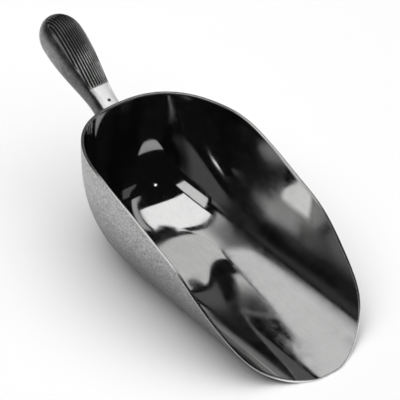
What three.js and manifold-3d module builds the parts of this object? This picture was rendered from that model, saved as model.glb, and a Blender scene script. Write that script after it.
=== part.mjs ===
// Cast aluminium ice scoop of about 2.3 litres: a round-heeled bowl with an open mouth,
// a hollow ribbed handle seated on the bowl's tang, and the pin that locks the two.
// Millimetres. +X points out of the mouth, +Z is up, and the scoop is symmetric about y = 0.
import * as THREE from 'three';
import { ParametricGeometry } from 'three/addons/geometries/ParametricGeometry.js';
import { mergeVertices } from 'three/addons/utils/BufferGeometryUtils.js';
import Module from 'manifold-3d';

// ---------- Driving dimensions ----------
const BOWL_HALF_WIDTH = 77;
const HEEL_LENGTH = 113;
const FLOOR_LENGTH = 174.5;
const SHOULDER_HEIGHT = 107.6;
const SECTION_POWER = 2.96;
const PLAN_POWER = 2.5;
const BOWL_WALL = 2.6;
const LAND_DEPTH = 1.2;
// Side view of the rim in x and z: level over the heel, then falling to the lip.
const RIM_SIDE_VIEW = new THREE.SplineCurve([
  new THREE.Vector2(-HEEL_LENGTH, 107),
  new THREE.Vector2(-68, 106.5),
  new THREE.Vector2(-34, 105.3),
  new THREE.Vector2(0, 97.4),
  new THREE.Vector2(35, 85.9),
  new THREE.Vector2(70.5, 72.9),
  new THREE.Vector2(106, 48.8),
  new THREE.Vector2(132, 30.2),
  new THREE.Vector2(154, 9.4),
  new THREE.Vector2(166.4, 2.1),
  new THREE.Vector2(FLOOR_LENGTH, 0),
]);

const HANDLE_ROOT_HEIGHT = 83.7;
const HANDLE_PITCH = THREE.MathUtils.degToRad(29.8);
const HANDLE_LENGTH = 114.5;
const HANDLE_WALL = 3;
const NECK_RADIUS = 11.7;
const NECK_END = 18.5;
const NECK_HOLD = 38.3;
const BULB_HOLD = 60;
const BULB_RADIUS = 19.45;
const BULB_START = 87.8;
const DOME_START = 90.8;
const ROOT_FLARE = 3;
const FLARE_LENGTH = 32;

const RIB_PITCH = 2.35;
const GROOVE_WIDTH = 1.4;
const GROOVE_DEPTH = 0.9;
const GROOVE_START = 36.3;
const GROOVE_LOWEST = 6;
const RIB_ZONE_ANGLE = THREE.MathUtils.degToRad(47);

const TANG_LENGTH = 44;
const TANG_ROOT_RADIUS = 7.5;
const TANG_TIP_RADIUS = 5.5;
const TANG_CHAMFER = 1.5;
const PIN_RADIUS = 1.6;
const PIN_STATION = 19.5;
const PIN_RECESS = 0.6;
const CLEARANCE = 0.3;

// How finely the curved surfaces are divided.
const RIM_STEPS = 38;
const OUTSIDE_STEPS = 21;
const INSIDE_STEPS = 15;
const HANDLE_SIDES = 48;
const HANDLE_STEPS = 26;
const TURNED_SIDES = 32;
// How far a cutting solid reaches past what it cuts.
const OVERSHOOT = 15;
const DEEP_LAYER = 26;
// Points closer than this count as one.
const SAME_POINT = 1e-4;

// ---------- Closed meshes and booleans ----------
const wasm = await Module();
wasm.setup();

// Merges shared vertices and drops the triangles that a pole or seam leaves without area.
function closed(geometry) {
  const bare = geometry.clone();
  bare.deleteAttribute('normal');
  bare.deleteAttribute('uv');
  const merged = mergeVertices(bare, SAME_POINT);
  const corners = merged.index.array;
  const kept = [];
  for (let i = 0; i < corners.length; i += 3) {
    const [a, b, c] = corners.slice(i, i + 3);
    if (a !== b && b !== c && c !== a) kept.push(a, b, c);
  }
  merged.setIndex(kept);
  return merged;
}

function solid(geometry) {
  const mesh = closed(geometry);
  return new wasm.Manifold(new wasm.Mesh({
    numProp: 3,
    vertProperties: new Float32Array(mesh.attributes.position.array),
    triVerts: new Uint32Array(mesh.index.array),
  }));
}

function geometryOf(manifold) {
  const mesh = manifold.getMesh();
  const geometry = new THREE.BufferGeometry();
  geometry.setAttribute('position', new THREE.BufferAttribute(mesh.vertProperties, 3));
  geometry.setIndex(new THREE.BufferAttribute(mesh.triVerts, 1));
  geometry.computeVertexNormals();
  return geometry;
}

// A closed skin over a net of points, given as rows of equal length.
function skin(rows) {
  const stacks = rows.length - 1;
  const slices = rows[0].length - 1;
  const pick = (u, v, target) => {
    target.copy(rows[Math.round(v * stacks)][Math.round(u * slices)]);
  };
  return new ParametricGeometry(pick, slices, stacks);
}

// ---------- Bowl ----------
// The bowl's cross-section is a superellipse up to the shoulder and upright above it.
// The same section is swept round the heel, whose plan is a squarer superellipse quarter.
function widthShare(z) {
  const drop = Math.max(1 - z / SHOULDER_HEIGHT, 0);
  return (1 - drop ** SECTION_POWER) ** (1 / SECTION_POWER);
}

// One side of the rim, from the middle of the heel to the tip of the lip.
class RimLine extends THREE.Curve {
  getPoint(u, target = new THREE.Vector3()) {
    const side = RIM_SIDE_VIEW.getPoint((1 - Math.cos(Math.PI * u)) / 2);
    const back = Math.max(-side.x, 0) / HEEL_LENGTH;
    const spare = Math.max(widthShare(side.y) ** PLAN_POWER - back ** PLAN_POWER, 0);
    return target.set(side.x, BOWL_HALF_WIDTH * spare ** (1 / PLAN_POWER), side.y);
  }
}

// A line down the bowl's surface, from the keel up to one point of the rim.
class Meridian extends THREE.Curve {
  constructor(rimPoint) {
    super();
    this.x = rimPoint.x;
    const reach = HEEL_LENGTH * widthShare(rimPoint.z);
    this.backShare = rimPoint.x < 0 ? Math.min(-rimPoint.x / reach, 1) : 0;
    this.sideShare = (1 - this.backShare ** PLAN_POWER) ** (1 / PLAN_POWER);
    this.sweep = Math.atan2(widthShare(rimPoint.z), 1 - rimPoint.z / SHOULDER_HEIGHT);
  }

  getPoint(v, target = new THREE.Vector3()) {
    const angle = v * this.sweep;
    const sine = Math.sin(angle);
    const cosine = Math.cos(angle);
    const low = Math.max(cosine, 0) ** SECTION_POWER;
    const scale = (sine ** SECTION_POWER + low) ** (-1 / SECTION_POWER);
    const share = cosine > 0 ? sine * scale : 1;
    const drop = cosine > 0 ? cosine * scale : cosine / sine;
    const x = this.x < 0 ? -HEEL_LENGTH * share * this.backShare : this.x;
    const y = BOWL_HALF_WIDTH * share * this.sideShare;
    return target.set(x, y, SHOULDER_HEIGHT * (1 - drop));
  }
}

// Moves a surface point outwards along the bowl's own normal; inwards if distance is negative.
function offsetFromBowl(point, distance) {
  const back = Math.max(-point.x, 0) / HEEL_LENGTH;
  const side = Math.abs(point.y) / BOWL_HALF_WIDTH;
  const drop = Math.max(1 - point.z / SHOULDER_HEIGHT, 0);
  const share = (back ** PLAN_POWER + side ** PLAN_POWER) ** (1 / PLAN_POWER);
  const spread = Math.max(share, SAME_POINT) ** (SECTION_POWER - PLAN_POWER);
  const normal = new THREE.Vector3(
    -spread * back ** (PLAN_POWER - 1) / HEEL_LENGTH,
    spread * side ** (PLAN_POWER - 1) * Math.sign(point.y) / BOWL_HALF_WIDTH,
    -(drop ** (SECTION_POWER - 1)) / SHOULDER_HEIGHT,
  ).normalize();
  const moved = point.clone().addScaledVector(normal, distance);
  moved.z = Math.max(moved.z, LAND_DEPTH) - LAND_DEPTH;
  return moved;
}

// The layer of the bowl between two offsets from its outer surface. The bowl's own wall is
// one such layer, and thicker or thinner ones cut the parts that meet it.
function bowlLayer(outerOffset, innerOffset) {
  const rim = new RimLine().getSpacedPoints(RIM_STEPS);
  const halves = rim.map((point) => {
    const meridian = new Meridian(point);
    const outside = meridian.getSpacedPoints(OUTSIDE_STEPS);
    const inside = meridian.getSpacedPoints(INSIDE_STEPS).reverse();
    return [
      ...outside.map((p) => offsetFromBowl(p, outerOffset)),
      ...inside.map((p) => offsetFromBowl(p, innerOffset)),
    ];
  });
  const mirror = (line) => line.map((p) => new THREE.Vector3(p.x, -p.y, p.z));
  const round = [...halves.slice(1).reverse().map(mirror), ...halves];
  return skin(round);
}

// ---------- Handle ----------
// The handle is drawn about its own axis: x lateral, y along it from the bowl, z its upper side.
const handleFrame = new THREE.Matrix4()
  .makeBasis(
    new THREE.Vector3(0, 1, 0),
    new THREE.Vector3(-Math.cos(HANDLE_PITCH), 0, Math.sin(HANDLE_PITCH)),
    new THREE.Vector3(Math.sin(HANDLE_PITCH), 0, Math.cos(HANDLE_PITCH)),
  )
  .setPosition(-HEEL_LENGTH, 0, HANDLE_ROOT_HEIGHT - LAND_DEPTH);

// Half the handle's side view, less a thickness all round, from its root to its rounded end.
function handleOutline(thickness) {
  const neck = NECK_RADIUS - thickness;
  const bulb = BULB_RADIUS - thickness;
  const swell = new THREE.CubicBezierCurve(
    new THREE.Vector2(neck, NECK_END),
    new THREE.Vector2(neck, NECK_HOLD),
    new THREE.Vector2(bulb, BULB_HOLD),
    new THREE.Vector2(bulb, BULB_START),
  );
  const domeLength = HANDLE_LENGTH - thickness - DOME_START;
  const dome = new THREE.EllipseCurve(0, DOME_START, bulb, domeLength, 0, Math.PI / 2);
  const path = new THREE.CurvePath();
  path.add(new THREE.LineCurve(new THREE.Vector2(neck, -OVERSHOOT), swell.v0));
  path.add(swell);
  path.add(new THREE.LineCurve(swell.v3, new THREE.Vector2(bulb, DOME_START)));
  path.add(dome);
  return path;
}

// A handle body about the axis. The underside swells towards the root, where it meets the bowl.
function handleBody(thickness, flare) {
  const stations = handleOutline(thickness).getSpacedPoints(HANDLE_STEPS);
  const rings = stations.map(({ x: radius, y: station }) => {
    const nearRoot = Math.max(1 - Math.max(station, 0) / FLARE_LENGTH, 0);
    const ring = [];
    for (let i = 0; i <= HANDLE_SIDES; i += 1) {
      const angle = 2 * Math.PI * (i % HANDLE_SIDES) / HANDLE_SIDES;
      const under = (1 - Math.sin(angle)) / 2;
      const reach = Math.max(radius, 0) + flare * under * nearRoot ** 2;
      ring.push(new THREE.Vector3(reach * Math.cos(angle), station, reach * Math.sin(angle)));
    }
    return ring;
  });
  const start = rings[0].map(() => new THREE.Vector3(0, -OVERSHOOT, 0));
  const end = rings[0].map(() => new THREE.Vector3(0, HANDLE_LENGTH - thickness, 0));
  return skin([start, ...rings.slice(0, -1), end].reverse());
}

// Straight grooves at an even pitch across the top, which run out where the side falls away.
function gripGrooves() {
  const halfCount = Math.floor(BULB_RADIUS * Math.sin(RIB_ZONE_ANGLE) / RIB_PITCH);
  const length = HANDLE_LENGTH + OVERSHOOT - GROOVE_START;
  let grooves = null;
  for (let k = -halfCount; k <= halfCount; k += 1) {
    const across = k * RIB_PITCH;
    const floor = Math.max(Math.abs(across) / Math.tan(RIB_ZONE_ANGLE), GROOVE_LOWEST);
    const height = BULB_RADIUS + OVERSHOOT - floor;
    const slab = new THREE.BoxGeometry(GROOVE_WIDTH, length, height)
      .translate(across, GROOVE_START + length / 2, floor + height / 2);
    grooves = grooves ? grooves.add(solid(slab)) : solid(slab);
  }
  return grooves.subtract(solid(handleBody(GROOVE_DEPTH, 0)));
}

// A solid turned about the handle's axis from an outline of radius and station.
function turned(outline) {
  const points = outline.map(([radius, station]) => new THREE.Vector2(radius, station));
  return new THREE.LatheGeometry(points, TURNED_SIDES);
}

function tang(allowance) {
  return turned([
    [0, -OVERSHOOT],
    [TANG_ROOT_RADIUS + allowance, -OVERSHOOT],
    [TANG_ROOT_RADIUS + allowance, 0],
    [TANG_TIP_RADIUS + allowance, TANG_LENGTH - TANG_CHAMFER + allowance],
    [TANG_TIP_RADIUS - TANG_CHAMFER + allowance, TANG_LENGTH + allowance],
    [0, TANG_LENGTH + allowance],
  ]);
}

// The hollow that the casting's core leaves, which opens into the socket for the tang.
function handleHollow() {
  const outline = handleOutline(HANDLE_WALL).getSpacedPoints(HANDLE_STEPS);
  const beyondTang = outline.filter((p) => p.y > TANG_LENGTH + TANG_CHAMFER && p.x > CLEARANCE);
  return turned([
    [0, TANG_LENGTH - TANG_CHAMFER],
    [TANG_TIP_RADIUS, TANG_LENGTH - TANG_CHAMFER],
    ...beyondTang.map((p) => [p.x, p.y]),
    [0, HANDLE_LENGTH - HANDLE_WALL],
  ]);
}

// A round bar through the neck between two heights.
function neckBar(radius, top, bottom) {
  return new THREE.CylinderGeometry(radius, radius, top - bottom, TURNED_SIDES)
    .rotateX(Math.PI / 2)
    .translate(0, PIN_STATION, (top + bottom) / 2);
}

const inHandleFrame = (geometry) => geometry.applyMatrix4(handleFrame);

// ---------- The three pieces ----------
function makeBowl() {
  const stub = solid(inHandleFrame(tang(0)))
    .subtract(solid(bowlLayer(-BOWL_WALL / 2, -DEEP_LAYER)))
    .subtract(solid(inHandleFrame(neckBar(PIN_RADIUS + CLEARANCE, OVERSHOOT, -OVERSHOOT))));
  return geometryOf(solid(bowlLayer(0, -BOWL_WALL)).add(stub));
}

function makeHandle() {
  const blank = solid(handleBody(0, ROOT_FLARE)).subtract(gripGrooves());
  const cored = blank
    .subtract(solid(handleHollow()))
    .subtract(solid(tang(CLEARANCE)))
    .subtract(solid(neckBar(PIN_RADIUS + CLEARANCE, BULB_RADIUS, -BULB_RADIUS)));
  const toHandle = handleFrame.clone().invert();
  const seat = solid(bowlLayer(CLEARANCE, -DEEP_LAYER).applyMatrix4(toHandle));
  return inHandleFrame(geometryOf(cored.subtract(seat)));
}

function makePin() {
  return inHandleFrame(neckBar(PIN_RADIUS, NECK_RADIUS - PIN_RECESS, PIN_RECESS - NECK_RADIUS));
}

// ---------- Materials and assembly ----------
const polishedCasting = new THREE.MeshStandardMaterial({
  name: 'polished_casting', color: 0xc9cacb, roughness: 0.12, metalness: 1,
});
const ribbedCasting = new THREE.MeshStandardMaterial({
  name: 'ribbed_casting', color: 0x8e9092, roughness: 0.38, metalness: 1,
});
const pinSteel = new THREE.MeshStandardMaterial({
  name: 'pin_steel', color: 0x6f7173, roughness: 0.45, metalness: 1,
});

function piece(name, geometry, material) {
  const mesh = new THREE.Mesh(geometry, material);
  mesh.name = name;
  return mesh;
}

// The furthest point of the domed end, behind the bowl.
const domeReach = Math.hypot(
  (HANDLE_LENGTH - DOME_START) * Math.cos(HANDLE_PITCH),
  BULB_RADIUS * Math.sin(HANDLE_PITCH),
);
const rearmost = -HEEL_LENGTH - DOME_START * Math.cos(HANDLE_PITCH) - domeReach;

const scoop = new THREE.Group();
scoop.position.x = -(FLOOR_LENGTH + rearmost) / 2;
scoop.add(
  piece('bowl', makeBowl(), polishedCasting),
  piece('handle', makeHandle(), ribbedCasting),
  piece('neck_pin', makePin(), pinSteel),
);

export default scoop;
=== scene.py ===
"""Ice scoop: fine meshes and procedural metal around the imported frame."""
import math

import bmesh
import bpy
import numpy as np
from mathutils import Matrix, Vector


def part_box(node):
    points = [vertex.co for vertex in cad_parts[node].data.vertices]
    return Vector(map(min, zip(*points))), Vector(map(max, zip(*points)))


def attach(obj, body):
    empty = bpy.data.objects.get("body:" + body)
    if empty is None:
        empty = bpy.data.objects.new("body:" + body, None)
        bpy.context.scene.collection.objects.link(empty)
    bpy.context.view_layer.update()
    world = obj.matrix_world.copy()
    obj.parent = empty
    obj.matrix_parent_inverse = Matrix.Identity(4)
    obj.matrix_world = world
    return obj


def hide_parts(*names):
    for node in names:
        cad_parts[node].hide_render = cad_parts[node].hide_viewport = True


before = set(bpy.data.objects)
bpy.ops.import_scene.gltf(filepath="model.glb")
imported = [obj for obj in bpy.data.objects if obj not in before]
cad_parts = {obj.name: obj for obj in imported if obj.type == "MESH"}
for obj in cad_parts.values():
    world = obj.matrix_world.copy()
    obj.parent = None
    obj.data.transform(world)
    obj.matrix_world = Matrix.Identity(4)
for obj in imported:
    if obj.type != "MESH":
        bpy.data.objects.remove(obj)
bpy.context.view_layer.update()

MM = 0.001
TINY = 1e-9
MERGE_DISTANCE = 1e-6
DEGENERATE_LENGTH = 1e-7

# ---------- Driving sizes in millimetres, the same as the part's ----------
BOWL_HALF_WIDTH = 77.0
HEEL_LENGTH = 113.0
FLOOR_LENGTH = 174.5
SHOULDER_HEIGHT = 107.6
SECTION_POWER = 2.96
PLAN_POWER = 2.5
BOWL_WALL = 2.6
LAND_DEPTH = 1.2
RIM_SIDE_VIEW = (
    (-HEEL_LENGTH, 107.0), (-68.0, 106.5), (-34.0, 105.3), (0.0, 97.4), (35.0, 85.9),
    (70.5, 72.9), (106.0, 48.8), (132.0, 30.2), (154.0, 9.4), (166.4, 2.1),
    (FLOOR_LENGTH, 0.0),
)

HANDLE_ROOT_HEIGHT = 83.7
HANDLE_PITCH = math.radians(29.8)
HANDLE_LENGTH = 114.5
NECK_RADIUS = 11.7
NECK_END = 18.5
NECK_HOLD = 38.3
BULB_HOLD = 60.0
BULB_RADIUS = 19.45
BULB_START = 87.8
DOME_START = 90.8
ROOT_FLARE = 3.0
FLARE_LENGTH = 32.0

RIB_PITCH = 2.35
GROOVE_DEPTH = 0.9
GROOVE_START = 36.3
GROOVE_LOWEST = 6.0
RIB_ZONE_ANGLE = math.radians(47)
PIN_RADIUS = 1.6
PIN_STATION = 19.5
PIN_RECESS = 0.6
CLEARANCE = 0.3

# Where the part's own origin lies in the frame: the lip is the bowl's highest x.
bowl_high = Vector(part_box("bowl")[1])
SHIFT = np.array([bowl_high.x / MM - FLOOR_LENGTH, 0.0, 0.0])


def make_mesh(name, points, faces, masks=None):
    """A smooth mesh object from points in millimetres, with masks that its material reads."""
    mesh = bpy.data.meshes.new(name)
    mesh.from_pydata([tuple(p) for p in (points + SHIFT) * MM], [], faces)
    for label, values in (masks or {}).items():
        mesh.attributes.new(label, "FLOAT", "POINT").data.foreach_set("value", values)
    work = bmesh.new()
    work.from_mesh(mesh)
    bmesh.ops.remove_doubles(work, verts=work.verts, dist=MERGE_DISTANCE)
    bmesh.ops.dissolve_degenerate(work, edges=work.edges, dist=DEGENERATE_LENGTH)
    bmesh.ops.recalc_face_normals(work, faces=work.faces)
    work.to_mesh(mesh)
    work.free()
    mesh.shade_smooth()
    thing = bpy.data.objects.new(name, mesh)
    bpy.context.scene.collection.objects.link(thing)
    return thing


def grid_faces(rows, columns):
    """Quads over a net whose points are numbered row by row."""
    faces = []
    for i in range(rows - 1):
        below, above = i * columns, (i + 1) * columns
        for j in range(columns - 1):
            faces.append((below + j, below + j + 1, above + j + 1, above + j))
    return faces


# ---------- Curves ----------
def bezier(controls, t):
    """Points on a cubic curve with four control points."""
    p0, p1, p2, p3 = (np.array(c) for c in controls)
    t = np.asarray(t)[:, None]
    return (1 - t) ** 3 * p0 + 3 * (1 - t) ** 2 * t * p1 + 3 * (1 - t) * t * t * p2 + t ** 3 * p3


def smooth(low, high, value):
    """A soft step, 0 up to low and 1 from high on."""
    t = np.clip((value - low) / (high - low), 0, 1)
    return t * t * (3 - 2 * t)


def spline(points, share):
    """A smooth curve through points that repeats its end points, from share 0 to share 1."""
    points = np.array(points)
    last = len(points) - 1
    place = np.asarray(share) * last
    start = np.minimum(np.floor(place).astype(int), last - 1)
    t = (place - start)[:, None]
    before, here = points[np.maximum(start - 1, 0)], points[start]
    after, beyond = points[start + 1], points[np.minimum(start + 2, last)]
    pull, push = (after - before) / 2, (beyond - here) / 2
    return ((2 * here - 2 * after + pull + push) * t ** 3
            + (3 * after - 3 * here - 2 * pull - push) * t ** 2 + pull * t + here)


def evenly(points, count):
    """Points spaced evenly along the line through these ones."""
    run = np.r_[0, np.cumsum(np.linalg.norm(np.diff(points, axis=0), axis=1))]
    even = np.linspace(0, run[-1], count)
    return np.stack([np.interp(even, run, column) for column in points.T], 1)


# ---------- Bowl ----------
RIM_SAMPLES = 4000
RIM_COUNT = 230
WALL_COUNT = 96
EDGE_RADIUS = 0.55
EDGE_STEPS = 5
RIPPLE_DEPTH = 0.035
# The side walls ahead of the heel are less well polished than the rest of the inside, and painted
# shade darkens their colour there. That part starts this far out from the middle, and further out
# by the gain once past the turn. From the heel forward it fades in over the stations of
# DULL_SHADE_BACK.
DULL_SHADE_SIDE = 25.0
DULL_SHADE_SIDE_GAIN = 15.0
DULL_SHADE_TURN = (-4.0, 24.0)
DULL_SHADE_FADE = 14.0
DULL_SHADE_BACK = (-44.0, -16.0)
# A stretch high on each side wall has kept its polish and is left out of the painted shade. It
# fades in over these heights and the first stations, and out over the last.
KEPT_HEIGHT = (50.0, 58.0)
KEPT_START = (18.0, 28.0)
KEPT_END = (55.0, 62.0)


def width_share(z):
    """The bowl's width at a height, as a share of its greatest width."""
    drop = np.maximum(1 - z / SHOULDER_HEIGHT, 0)
    return (1 - drop ** SECTION_POWER) ** (1 / SECTION_POWER)


def rim_line(count):
    """Points down one side of the rim, evenly spaced along it, from the heel to the lip."""
    u = np.linspace(0, 1, RIM_SAMPLES)
    side = spline(RIM_SIDE_VIEW, (1 - np.cos(np.pi * u)) / 2)
    share = width_share(side[:, 1])
    back = np.maximum(-side[:, 0], 0) / HEEL_LENGTH
    spread = np.maximum(share ** PLAN_POWER - back ** PLAN_POWER, 0)
    y = BOWL_HALF_WIDTH * spread ** (1 / PLAN_POWER)
    return evenly(np.stack([side[:, 0], y, side[:, 1]], 1), count)


def bowl_field(points):
    """The outer surface as a field: its value, about 0 on the surface, and its unit normal."""
    back = np.maximum(-points[..., 0], 0) / HEEL_LENGTH
    side = np.abs(points[..., 1]) / BOWL_HALF_WIDTH
    drop = np.maximum(1 - points[..., 2] / SHOULDER_HEIGHT, 0)
    spread = (back ** PLAN_POWER + side ** PLAN_POWER) ** (1 / PLAN_POWER) + TINY
    size = (spread ** SECTION_POWER + drop ** SECTION_POWER) ** (1 / SECTION_POWER)
    pull = spread ** (SECTION_POWER - PLAN_POWER) * size ** (1 - SECTION_POWER)
    slope = np.stack([
        -pull * back ** (PLAN_POWER - 1) / HEEL_LENGTH,
        pull * side ** (PLAN_POWER - 1) * np.sign(points[..., 1]) / BOWL_HALF_WIDTH,
        -size ** (1 - SECTION_POWER) * drop ** (SECTION_POWER - 1) / SHOULDER_HEIGHT,
    ], -1)
    steepness = np.linalg.norm(slope, axis=-1) + TINY
    return (size - 1) / steepness, slope / steepness[..., None]


def meridian(rim_point, fractions):
    """Points on the outer surface from the keel up to a rim point."""
    share_at_rim = width_share(rim_point[2])
    back = max(-rim_point[0], 0) / HEEL_LENGTH / max(share_at_rim, TINY)
    back = min(back, 1)
    side = (1 - back ** PLAN_POWER) ** (1 / PLAN_POWER)
    sweep = math.atan2(share_at_rim, 1 - rim_point[2] / SHOULDER_HEIGHT)
    sine, cosine = np.sin(fractions * sweep), np.cos(fractions * sweep)
    forward = np.maximum(cosine, 0)
    scale = (sine ** SECTION_POWER + forward ** SECTION_POWER) ** (-1 / SECTION_POWER)
    share = np.where(cosine > 0, sine * scale, 1.0)
    drop = np.where(cosine > 0, cosine * scale, cosine / np.maximum(sine, TINY))
    x = -HEEL_LENGTH * share * back if rim_point[0] < 0 else np.full(len(fractions), rim_point[0])
    points = np.stack([x, BOWL_HALF_WIDTH * share * side, SHOULDER_HEIGHT * (1 - drop)], 1)
    return evenly(points, len(fractions))


def ripple(points):
    """Slow waves that hand polishing leaves in the metal, about -1 to 1."""
    x, y, z = points[..., 0], points[..., 1], points[..., 2]
    waves = (
        np.sin(x / 13.0 + 1.3 * np.sin(y / 17.0)) + np.sin(y / 11.0 + z / 19.0 + 0.7)
        + np.sin((x + y) / 23.0 + 2.1) + 0.6 * np.sin((x - 1.4 * y + z) / 9.0 + 0.4)
    )
    highest = 3 + 0.6
    return waves / highest


def dull_and_shade_share(points):
    """How much less polished a point of the inside is, 0 to 1, which also sets how much painted
    shade darkens it.
    """
    x, y, z = points[..., 0], points[..., 1], points[..., 2]
    start = DULL_SHADE_SIDE + DULL_SHADE_SIDE_GAIN * smooth(*DULL_SHADE_TURN, x)
    dull_and_shade = smooth(start, start + DULL_SHADE_FADE, np.abs(y)) * smooth(*DULL_SHADE_BACK, x)
    kept = smooth(*KEPT_HEIGHT, z) * smooth(*KEPT_START, x) * (1 - smooth(*KEPT_END, x))
    return dull_and_shade * (1 - kept)


def make_bowl():
    """Both skins from keel to rim, joined by a rounded edge, then the same for the other half."""
    rim = rim_line(RIM_COUNT)
    along = np.gradient(rim, axis=0)
    along[0] = (0, 1, 0)
    along[-1] = (0, -1, 0)
    _, normal = bowl_field(rim)
    upward = np.cross(normal, along)
    upward /= np.linalg.norm(upward, axis=1)[:, None]
    upward *= np.sign(upward[:, 2:3] + upward[:, 0:1])
    inset = rim - upward * EDGE_RADIUS
    inset[:, 1] = np.maximum(inset[:, 1], 0)
    inset[0, 1] = inset[-1, 1] = 0
    fractions = np.linspace(0, 1, WALL_COUNT)
    bend = np.linspace(0, math.pi / 2, EDGE_STEPS + 1)[:, None]
    rows = []
    for point, up in zip(inset, upward):
        outside = meridian(point, fractions)
        _, out = bowl_field(outside)
        inside = outside - out * (BOWL_WALL + RIPPLE_DEPTH * ripple(outside)[:, None])
        for layer in (outside, inside):
            layer[:, 2] = np.maximum(layer[:, 2], LAND_DEPTH) - LAND_DEPTH
        across = inside[-1] - outside[-1]
        across /= np.linalg.norm(across)
        lift = up * np.sin(bend)
        outer_edge = outside[-1] + EDGE_RADIUS * (across * (1 - np.cos(bend)) + lift)
        inner_edge = inside[-1] + EDGE_RADIUS * (-across * (1 - np.cos(bend)) + lift)
        rows.append(np.vstack([outside, outer_edge[1:], inner_edge[::-1], inside[-2::-1]]))
    half = np.array(rows)
    mirrored = half[:0:-1] * (1, -1, 1)
    net = np.concatenate([mirrored, half])
    count, columns = net.shape[:2]
    polished = np.zeros(columns)
    polished[WALL_COUNT + EDGE_STEPS:] = 1
    edge = np.zeros(columns)
    edge[WALL_COUNT:WALL_COUNT + 2 * EDGE_STEPS + 1] = 1
    masks = {
        "polished": np.tile(polished, count),
        "edge": np.tile(edge, count),
        "dull_and_shade": dull_and_shade_share(net).ravel(),
    }
    return make_mesh("scoop_bowl", net.reshape(-1, 3), grid_faces(count, columns), masks)


# ---------- Handle ----------
AXIS = np.array([-math.cos(HANDLE_PITCH), 0, math.sin(HANDLE_PITCH)])
UPPER = np.array([math.sin(HANDLE_PITCH), 0, math.cos(HANDLE_PITCH)])
ACROSS = np.array([0.0, 1.0, 0.0])
ROOT = np.array([-HEEL_LENGTH, 0, HANDLE_ROOT_HEIGHT - LAND_DEPTH])

# The fine skin keeps this much inside the true size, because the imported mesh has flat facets.
SKIN_INSET = 0.15
OUTLINE_SAMPLES = 800
# The columns stand close together over the ribs, as far round as this angle from the top.
FINE_ANGLE = math.radians(66)
TOP_COLUMNS = 340
UNDER_COLUMNS = 90
HANDLE_ROWS = 300
# The seat on the bowl is looked for within this distance of the root, by halving.
SEAT_REACH = 25.0
HALVINGS = 40
ROOT_PASSES = 12
SEAT_RINGS = 10
SEAT_ROWS = 60
SEAT_END = 15.0
# Half the width of a groove at its floor and at its mouth, and how softly its sides run out.
GROOVE_FLOOR = 0.35
GROOVE_MOUTH = 0.95
GROOVE_FADE = 1.3
# How softly the ribbed zone ends at its sides and at its start.
ZONE_SIDE = (-0.4, 0.9)
ZONE_FADE = 1.2
# The top of the neck is ground nearly flat: this much of its radius is left, with a slight crown,
# and it rises to the ribs over a short length.
FACET_SHARE = 0.9
FACET_CROWN = 0.15
FACET_RISE = 2.0
RISE_LENGTH = 1.6
# The neck's polished face is painted near white as a highlight. Its edge, as shares of the neck's
# radius, and where it stops short of the ribs.
BUFFED_HIGHLIGHT_EDGE = (0.66, 0.78)
BUFFED_HIGHLIGHT_STOP = 0.4
# Painted highlight on the rib crests, and painted shade on the smooth skin, from the ribs' start
# to about here.
LIGHT_RAMP_FROM = 52.0
LIGHT_RAMP_TO = 86.0


def handle_outline(count):
    """Radius and station, evenly spaced along the side view from before the root to the end."""
    t = np.linspace(0, 1, OUTLINE_SAMPLES)
    swell = bezier(((NECK_RADIUS, NECK_END), (NECK_RADIUS, NECK_HOLD), (BULB_RADIUS, BULB_HOLD),
                    (BULB_RADIUS, BULB_START)), t)
    quarter = t * math.pi / 2
    dome = np.stack([BULB_RADIUS * np.cos(quarter),
                     DOME_START + (HANDLE_LENGTH - SKIN_INSET - DOME_START) * np.sin(quarter)], 1)
    line = np.vstack([[(NECK_RADIUS, -SEAT_REACH)], swell, dome])
    radius, station = evenly(line, count).T
    return radius * (1 - SKIN_INSET / BULB_RADIUS), station


def to_frame(lateral, station, height):
    """Points given across, along and above the handle's axis, in the part's own place."""
    return (ROOT + lateral[..., None] * ACROSS + station[..., None] * AXIS
            + height[..., None] * UPPER)


def groove_share(lateral, station, height):
    """How deep the grooves run at a point of the handle's skin, 0 to 1."""
    limit = math.floor(BULB_RADIUS * math.sin(RIB_ZONE_ANGLE) / RIB_PITCH)
    nearest = np.clip(np.round(lateral / RIB_PITCH), -limit, limit) * RIB_PITCH
    before = np.minimum(station - GROOVE_START, 0)
    distance = np.hypot(lateral - nearest, before)
    floor = np.maximum(np.abs(nearest) / math.tan(RIB_ZONE_ANGLE), GROOVE_LOWEST)
    across = 1 - smooth(GROOVE_FLOOR, GROOVE_MOUTH, distance)
    return across * smooth(0.0, GROOVE_FADE, height - floor)


def zone_share(lateral, station, height):
    """Whether a point of the skin lies in the ribbed zone, 0 to 1."""
    edge = np.maximum(np.abs(lateral) / math.tan(RIB_ZONE_ANGLE), GROOVE_LOWEST)
    begun = smooth(GROOVE_START - ZONE_FADE, GROOVE_START, station)
    return smooth(*ZONE_SIDE, height - edge) * begun


def seat_station(lateral, height):
    """The station at which a line along the handle meets the bowl, less the clearance."""
    low, high = np.full(lateral.shape, -SEAT_REACH), np.full(lateral.shape, SEAT_REACH)
    for _ in range(HALVINGS):
        middle = (low + high) / 2
        points = to_frame(lateral, middle, height) + (0, 0, LAND_DEPTH)
        value, _ = bowl_field(points)
        inside = value < CLEARANCE
        low, high = np.where(inside, middle, low), np.where(inside, high, middle)
    return high


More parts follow.
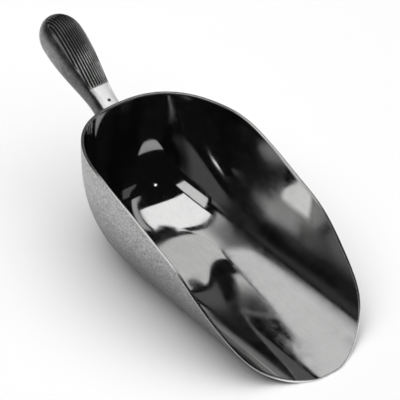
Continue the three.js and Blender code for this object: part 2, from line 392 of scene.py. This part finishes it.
def make_handle():
    """The skin from its seat on the bowl to the domed end, with the grooves cut into it."""
    first_side, second_side = math.pi / 2 - FINE_ANGLE, math.pi / 2 + FINE_ANGLE
    top = np.linspace(first_side, second_side, TOP_COLUMNS, endpoint=False)
    under = np.linspace(second_side, first_side + 2 * math.pi, UNDER_COLUMNS, endpoint=False)
    angle = np.r_[top, under]
    radius, station = handle_outline(2 * HANDLE_ROWS)

    def skin_radius(at):
        near_root = np.maximum(1 - np.maximum(at, 0) / FLARE_LENGTH, 0)
        below = (1 - np.sin(angle)) / 2
        return np.interp(at, station, radius) + ROOT_FLARE * below * near_root ** 2

    root = np.zeros(len(angle))
    for _ in range(ROOT_PASSES):
        reach = skin_radius(root)
        root = seat_station(reach * np.cos(angle), reach * np.sin(angle))
    rows = []
    for ring in range(1, SEAT_RINGS + 1):
        reach = skin_radius(root) * ring / (SEAT_RINGS + 1)
        lateral, height = reach * np.cos(angle), reach * np.sin(angle)
        rows.append(to_frame(lateral, seat_station(lateral, height), height))
    blank = np.zeros(len(angle))
    groove, ribbed, painted_light_ramp, buffed_and_highlight = ([blank] * SEAT_RINGS for _ in range(4))
    slope = np.gradient(radius, station + np.arange(len(station)) * TINY)
    near = np.linspace(0, 1, SEAT_ROWS, endpoint=False) * SEAT_END
    for at in np.r_[near, station[station > SEAT_END]][:-1]:
        if at < SEAT_END:
            where = root + (SEAT_END - root) * at / SEAT_END
        else:
            where = np.full(len(angle), at)
        reach = skin_radius(where)
        lateral, height = reach * np.cos(angle), reach * np.sin(angle)
        if at < GROOVE_START:
            rise = smooth(GROOVE_START - RISE_LENGTH, GROOVE_START, where)
            flat = NECK_RADIUS * FACET_SHARE + FACET_RISE * rise
            height = np.minimum(height, flat + FACET_CROWN * np.maximum(height - flat, 0))
        share = groove_share(lateral, where, height)
        tilt = math.atan(-np.interp(at, station, slope))
        cut = share * GROOVE_DEPTH
        rows.append(to_frame(
            lateral - cut * math.cos(tilt) * np.cos(angle), where - cut * math.sin(tilt),
            height - cut * math.cos(tilt) * np.sin(angle),
        ))
        groove.append(share)
        ribbed.append(zone_share(lateral, where, height))
        painted_light_ramp.append(1 - smooth(LIGHT_RAMP_FROM, LIGHT_RAMP_TO, where))
        ahead = 1 - smooth(GROOVE_START - RISE_LENGTH, GROOVE_START - BUFFED_HIGHLIGHT_STOP, where)
        buffed_and_highlight.append(smooth(*BUFFED_HIGHLIGHT_EDGE, height / NECK_RADIUS) * ahead)
    net = np.array(rows)
    net = np.concatenate([net, net[:, :1]], 1)
    masks = {}
    shares = {"groove": groove, "ribbed": ribbed, "painted_light_ramp": painted_light_ramp, "buffed_and_highlight": buffed_and_highlight}
    for label, values in shares.items():
        values = np.array(values)
        values = np.concatenate([values, values[:, :1]], 1).ravel()
        masks[label] = np.r_[values, 0.0, 0.0]
    count, columns = net.shape[:2]
    first = ROOT + AXIS * seat_station(np.zeros(1), np.zeros(1))[0]
    last = ROOT + AXIS * (HANDLE_LENGTH - SKIN_INSET)
    points = np.vstack([net.reshape(-1, 3), first, last])
    faces = grid_faces(count, columns)
    start, end = len(points) - 2, len(points) - 1
    base = (count - 1) * columns
    for j in range(columns - 1):
        faces.append((start, j + 1, j))
        faces.append((end, base + j, base + j + 1))
    return make_mesh("scoop_handle", points, faces, masks)


# ---------- Pin ----------
PIN_SIDES = 40
PIN_BANDS = 12
# How far the slightly crowned end has dropped at each radius, and where the plain length starts.
PIN_CROWN = ((0.0, 0.0), (0.7, 0.02), (1.2, 0.1), (1.45, 0.22), (PIN_RADIUS, 0.5))
PIN_PLAIN_START = 1.0


def make_pin():
    """The pin's two crowned ends, joined through the neck."""
    reach = NECK_RADIUS - PIN_RECESS
    crown = [(radius, reach - drop) for radius, drop in PIN_CROWN]
    plain = np.linspace(reach - PIN_PLAIN_START, PIN_PLAIN_START - reach, PIN_BANDS)
    outline = crown + [(PIN_RADIUS, height) for height in plain]
    outline += [(radius, -height) for radius, height in reversed(crown)]
    turn = np.linspace(0, 2 * math.pi, PIN_SIDES + 1)
    rows = []
    for radius, height in outline:
        station = PIN_STATION + radius * np.sin(turn)
        rows.append(to_frame(radius * np.cos(turn), station, np.full(len(turn), height)))
    net = np.array(rows)
    return make_mesh("scoop_neck_pin", net.reshape(-1, 3), grid_faces(len(rows), len(turn)))


bowl = make_bowl()
handle = make_handle()
pin = make_pin()
for thing, node, slot in (
    (bowl, "bowl", "polished_casting"),
    (handle, "handle", "ribbed_casting"),
    (pin, "neck_pin", "pin_steel"),
):
    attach(thing, "root")
    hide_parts(node)


# ---------- Materials ----------
class Recipe:
    """A node material that is built up around one Principled shader."""

    def __init__(self, name):
        self.material = bpy.data.materials.new(name)
        self.material.use_nodes = True
        self.tree = self.material.node_tree
        self.shader = self.tree.nodes["Principled BSDF"]
        self.place = self.add("ShaderNodeTexCoord").outputs["Object"]

    def add(self, kind, inputs=None, **settings):
        made = self.tree.nodes.new(kind)
        for key, value in settings.items():
            setattr(made, key, value)
        for key, value in (inputs or {}).items():
            self.feed(made.inputs[key], value)
        return made

    def feed(self, socket, value):
        if isinstance(value, bpy.types.NodeSocket):
            self.tree.links.new(value, socket)
        else:
            socket.default_value = value

    def mask(self, label):
        return self.add("ShaderNodeAttribute", attribute_name=label).outputs["Fac"]

    def math(self, operation, *values):
        return self.add("ShaderNodeMath", dict(enumerate(values)), operation=operation).outputs[0]

    def plus(self, first, second):
        return self.math("ADD", first, second)

    def minus(self, first, second):
        return self.math("SUBTRACT", first, second)

    def times(self, first, second):
        return self.math("MULTIPLY", first, second)

    def stretched(self, turn, scale):
        """The object's coordinates, turned about Y and then stretched."""
        turned = self.add("ShaderNodeMapping", {"Vector": self.place, "Rotation": (0, turn, 0)})
        inputs = {"Vector": turned.outputs[0], "Scale": scale}
        return self.add("ShaderNodeMapping", inputs).outputs[0]

    def noise(self, feature, detail=3.0, roughness=0.55, place=None):
        """Cloudy noise, about 0.3 to 0.7, whose lumps are this many millimetres across."""
        inputs = {"Vector": place or self.place, "Scale": 1 / (feature * MM), "Detail": detail,
                  "Roughness": roughness}
        return self.add("ShaderNodeTexNoise", inputs).outputs["Fac"]

    def spots(self, spacing, radius):
        """1 in small round spots and 0 between them."""
        inputs = {"Vector": self.place, "Scale": 1 / (spacing * MM)}
        distance = self.add("ShaderNodeTexVoronoi", inputs).outputs["Distance"]
        return self.spread(distance, radius, 0.0, 0.0, 1.0)

    def spread(self, value, low, high, to_low, to_high):
        """A value's range carried over to another and held inside it."""
        inputs = {
            "Value": value, "From Min": low, "From Max": high,
            "To Min": to_low, "To Max": to_high,
        }
        return self.add("ShaderNodeMapRange", inputs).outputs[0]

    def blend(self, share, first, second):
        """Numbers mixed by a share."""
        return self.add("ShaderNodeMix", {0: share, 2: first, 3: second}).outputs[0]

    def bump(self, height, depth, under=None):
        """A bump whose full height is this many millimetres."""
        inputs = {"Height": height, "Distance": depth * MM, "Strength": 1.0}
        if under is not None:
            inputs["Normal"] = under
        return self.add("ShaderNodeBump", inputs).outputs[0]

    def finish(self, brightness, roughness, normal, metallic=1.0):
        """Grey metal of this brightness, very slightly warm."""
        blue = self.times(brightness, 0.995)
        inputs = {"Red": brightness, "Green": brightness, "Blue": blue}
        colour = self.add("ShaderNodeCombineColor", inputs).outputs[0]
        self.feed(self.shader.inputs["Base Color"], colour)
        self.feed(self.shader.inputs["Roughness"], roughness)
        self.feed(self.shader.inputs["Normal"], normal)
        self.feed(self.shader.inputs["Metallic"], metallic)
        return self.material


def polished_casting():
    """Mirror polish inside, satin casting skin outside, and an edge between them that wear has
    left bright.
    """
    metal = Recipe("polished_casting")
    polished, edge, dull_and_shade = (metal.mask(label) for label in ("polished", "edge", "dull_and_shade"))
    height = metal.add("ShaderNodeSeparateXYZ", {"Vector": metal.place}).outputs["Z"]
    smudge = metal.noise(34, 4)
    haze = metal.noise(9, 3)
    strokes = metal.noise(1.6, 2, place=metal.stretched(0.0, (0.12, 1.0, 1.0)))
    grain = metal.noise(1.5, 4, 0.7)
    mottle = metal.noise(7, 4, 0.65)
    pits = metal.spots(4.5, 0.16)

    inner = metal.spread(smudge, 0.3, 0.7, 0.80, 0.87)
    inner = metal.plus(inner, metal.spread(strokes, 0.35, 0.65, -0.02, 0.02))
    # Painted shade: the inside's colour is darkened where it is less polished, to dim what it
    # reflects.
    inner = metal.times(inner, metal.spread(dull_and_shade, 0.0, 1.0, 1.0, 0.38))
    # Painted shade: the outer skin darkens toward the floor, unevenly.
    painted_shade_height = metal.plus(height, metal.times(smudge, 0.02))
    outer = metal.spread(mottle, 0.3, 0.7, 0.30, 0.42)
    outer = metal.times(outer, metal.spread(grain, 0.36, 0.64, 0.52, 1.45))
    outer = metal.times(outer, metal.spread(painted_shade_height, 0.042, 0.09, 0.38, 1.15))
    outer = metal.minus(outer, metal.times(pits, 0.16))
    worn_edge = metal.spread(grain, 0.3, 0.7, 0.70, 0.92)
    brightness = metal.blend(edge, metal.blend(polished, outer, inner), worn_edge)

    shine = metal.spread(haze, 0.35, 0.7, 0.035, 0.085)
    shine = metal.plus(shine, metal.spread(strokes, 0.4, 0.7, 0.0, 0.03))
    shine = metal.plus(shine, metal.times(dull_and_shade, 0.12))
    satin = metal.spread(mottle, 0.3, 0.7, 0.34, 0.46)
    roughness = metal.blend(edge, metal.blend(polished, satin, shine), 0.24)

    cast = metal.times(metal.minus(grain, pits), metal.minus(1.0, polished))
    normal = metal.bump(metal.times(strokes, polished), 0.004, metal.bump(cast, 0.11))
    return metal.finish(brightness, roughness, normal)


def ribbed_casting():
    """Satin casting, dark in the grooves, polished on the neck, with painted highlight and
    painted shade.
    """
    metal = Recipe("ribbed_casting")
    labels = ("groove", "ribbed", "painted_light_ramp", "buffed_and_highlight")
    groove, ribbed, painted_light_ramp, buffed_and_highlight = (metal.mask(label) for label in labels)
    grain = metal.noise(1.4, 4, 0.7)
    mottle = metal.noise(6, 4, 0.65)
    patches = metal.noise(16, 3)
    brushed = metal.noise(1.2, 2, place=metal.stretched(HANDLE_PITCH, (0.1, 1.0, 1.0)))

    skin = metal.spread(mottle, 0.3, 0.7, 0.19, 0.40)
    skin = metal.times(skin, metal.spread(grain, 0.3, 0.7, 0.7, 1.25))
    # Painted shade: the smooth skin is darker toward the neck.
    skin = metal.times(skin, metal.spread(painted_light_ramp, 0.0, 1.0, 0.92, 0.5))
    # Painted highlight on the crests toward the neck, and painted shade on them toward the end.
    dark_crest = metal.spread(patches, 0.35, 0.65, 0.16, 0.36)
    bright_crest = metal.spread(patches, 0.4, 0.6, 0.5, 1.0)
    crest = metal.blend(painted_light_ramp, dark_crest, bright_crest)
    crest = metal.times(crest, metal.spread(grain, 0.3, 0.7, 0.8, 1.2))
    # Painted highlight: the polished neck top is near white.
    bright = metal.spread(brushed, 0.3, 0.7, 0.9, 1.0)
    bright = metal.times(bright, metal.spread(grain, 0.3, 0.7, 0.94, 1.04))
    brightness = metal.blend(buffed_and_highlight, metal.blend(ribbed, skin, crest), bright)
    brightness = metal.blend(groove, brightness, metal.spread(grain, 0.3, 0.7, 0.03, 0.08))

    satin = metal.spread(mottle, 0.3, 0.7, 0.32, 0.48)
    roughness = metal.blend(ribbed, satin, metal.spread(brushed, 0.3, 0.7, 0.26, 0.4))
    roughness = metal.blend(buffed_and_highlight, roughness, metal.spread(brushed, 0.3, 0.7, 0.14, 0.22))
    roughness = metal.blend(groove, roughness, 0.6)
    normal = metal.bump(metal.plus(grain, metal.times(brushed, 0.3)), 0.09)
    # Painted highlight: the polished neck top and the crests toward it are partly plain grey, so
    # that they stay pale.
    lit_crests = metal.times(metal.times(painted_light_ramp, ribbed), metal.minus(1.0, groove))
    pale = metal.plus(metal.times(buffed_and_highlight, 0.5), metal.times(lit_crests, 0.3))
    return metal.finish(brightness, roughness, normal, metal.minus(1.0, pale))


def pin_steel():
    """Dull steel, painted dark as the shade in its recess, blotchy and slightly pitted."""
    metal = Recipe("pin_steel")
    shade_blotch = metal.noise(1.1, 3)
    grain = metal.noise(0.35, 3, 0.7)
    brightness = metal.spread(shade_blotch, 0.3, 0.7, 0.10, 0.3)
    brightness = metal.times(brightness, metal.spread(grain, 0.3, 0.7, 0.7, 1.2))
    roughness = metal.spread(shade_blotch, 0.3, 0.7, 0.35, 0.6)
    return metal.finish(brightness, roughness, metal.bump(grain, 0.03))


bowl.data.materials.append(polished_casting())
handle.data.materials.append(ribbed_casting())
pin.data.materials.append(pin_steel())


# ---------- Floor, card and lights, in metres ----------
SHEET_REACH = 8
SHEET_ROUGHNESS = 0.9
FLOOR_GREY = 0.88
CARD_GREY = 0.27
CARD_START = 0.2
CARD_HEIGHT = 0.0002
SOFT_BOX_HEIGHT = 1.3
FLOOR_LIGHT_ENERGY = 2.85
FLOOR_LIGHT_SPREAD = math.radians(100)
STUDIO_GREY = 0.004
BACKDROP_GREY = 0.9


def flat_sheet(name, low, high, height, grey):
    """A level, matt sheet between two corners."""
    mesh = bpy.data.meshes.new(name)
    corners = [(low[0], low[1]), (high[0], low[1]), (high[0], high[1]), (low[0], high[1])]
    mesh.from_pydata([(x, y, height) for x, y in corners], [], [(0, 1, 2, 3)])
    sheet = bpy.data.objects.new(name, mesh)
    bpy.context.scene.collection.objects.link(sheet)
    material = bpy.data.materials.new(name)
    material.use_nodes = True
    shader = material.node_tree.nodes["Principled BSDF"]
    shader.inputs["Base Color"].default_value = (grey, grey, grey, 1)
    shader.inputs["Roughness"].default_value = SHEET_ROUGHNESS
    shader.inputs["Specular IOR Level"].default_value = 0.0
    mesh.materials.append(material)
    return sheet


def soft_box(name, low, high, radiance):
    """A level rectangle of even light above the scoop, between two corners."""
    width, depth = high[0] - low[0], high[1] - low[1]
    data = bpy.data.lights.new(name, "AREA")
    data.shape = "RECTANGLE"
    data.size, data.size_y = width, depth
    data.energy = radiance * math.pi * width * depth
    lamp = bpy.data.objects.new(name, data)
    bpy.context.scene.collection.objects.link(lamp)
    lamp.location = ((low[0] + high[0]) / 2, (low[1] + high[1]) / 2, SOFT_BOX_HEIGHT)
    lamp.visible_camera = False


def floor_light():
    """A broad soft light from above, which reflections don't show."""
    data = bpy.data.lights.new("floor_light", "SUN")
    data.energy = FLOOR_LIGHT_ENERGY
    data.angle = FLOOR_LIGHT_SPREAD
    lamp = bpy.data.objects.new("floor_light", data)
    bpy.context.scene.collection.objects.link(lamp)
    lamp.visible_glossy = False


def studio_world():
    """A studio that is dark to the metal, with a pale backdrop behind the floor."""
    world = bpy.data.worlds.new("studio")
    world.use_nodes = True
    bpy.context.scene.world = world
    nodes, links = world.node_tree.nodes, world.node_tree.links
    nodes.clear()
    sight_line = nodes.new("ShaderNodeLightPath")
    either = nodes.new("ShaderNodeMixShader")
    links.new(sight_line.outputs["Is Camera Ray"], either.inputs[0])
    for slot, grey in ((1, STUDIO_GREY), (2, BACKDROP_GREY)):
        background = nodes.new("ShaderNodeBackground")
        background.inputs["Color"].default_value = (grey, grey, grey, 1)
        links.new(background.outputs[0], either.inputs[slot])
    output = nodes.new("ShaderNodeOutputWorld")
    links.new(either.outputs[0], output.inputs[0])


flat_sheet("floor", (-SHEET_REACH, -SHEET_REACH), (SHEET_REACH, SHEET_REACH), 0.0, FLOOR_GREY)
# A grey card laid before the mouth, which only reflections show.
card = flat_sheet(
    "card", (CARD_START, -SHEET_REACH), (SHEET_REACH, SHEET_REACH), CARD_HEIGHT, CARD_GREY,
)
card.visible_camera = False
card.visible_diffuse = False
card.visible_transmission = False
card.visible_volume_scatter = False
card.visible_shadow = False

soft_box("main_box", (-0.56, -0.62), (0.26, 0.76), 0.9)
soft_box("front_box", (-0.98, -0.95), (-0.67, 1.1), 0.58)
soft_box("near_box", (-0.37, -1.4), (0.68, -0.7), 0.62)
soft_box("far_box", (-0.4, 0.8), (0.8, 0.94), 0.34)
soft_box("side_fill", (1.0, 1.05), (1.7, 3.0), 0.07)
soft_box("near_fill", (-1.6, -2.3), (-0.5, -1.25), 0.09)
soft_box("far_fill", (-1.6, 1.2), (-0.4, 2.2), 0.08)
soft_box("small_lamp", (1.02, 0.1), (1.09, 0.17), 3.5)
floor_light()
studio_world()

# ---------- Camera ----------
CAMERA_AZIMUTH = math.radians(51.0352)
CAMERA_ELEVATION = math.radians(38.9688)
CAMERA_ROLL = math.radians(1.4405)
CAMERA_DISTANCE = 2.20105
SENSOR_WIDTH = 36
LENS = 233.1313
CLIP_START = 0.05
CLIP_END = 50
# The camera looks this far to the right of the part's own origin and above it.
AIM_RIGHT = 0.002806
AIM_UP = 0.056860


def make_camera():
    """A camera that looks past the part's own origin, from the photograph's angle."""
    back = Vector((
        math.sin(CAMERA_AZIMUTH) * math.cos(CAMERA_ELEVATION),
        -math.cos(CAMERA_AZIMUTH) * math.cos(CAMERA_ELEVATION),
        math.sin(CAMERA_ELEVATION),
    ))
    level = Vector((math.cos(CAMERA_AZIMUTH), math.sin(CAMERA_AZIMUTH), 0))
    upright = back.cross(level)
    right = math.cos(CAMERA_ROLL) * level + math.sin(CAMERA_ROLL) * upright
    up = -math.sin(CAMERA_ROLL) * level + math.cos(CAMERA_ROLL) * upright
    sight = AIM_RIGHT * right + AIM_UP * up - CAMERA_DISTANCE * back
    view_back = -sight.normalized()
    view_right = (right - right.dot(view_back) * view_back).normalized()
    view_up = view_back.cross(view_right)
    data = bpy.data.cameras.new("camera")
    data.sensor_width = SENSOR_WIDTH
    data.lens = LENS
    data.clip_start, data.clip_end = CLIP_START, CLIP_END
    camera = bpy.data.objects.new("camera", data)
    bpy.context.scene.collection.objects.link(camera)
    place = Matrix((view_right, view_up, view_back)).transposed().to_4x4()
    place.translation = back * CAMERA_DISTANCE + Vector((SHIFT[0] * MM, 0, -LAND_DEPTH * MM))
    camera.matrix_world = place
    bpy.context.scene.camera = camera


make_camera()
bpy.context.scene.view_settings.view_transform = "Standard"
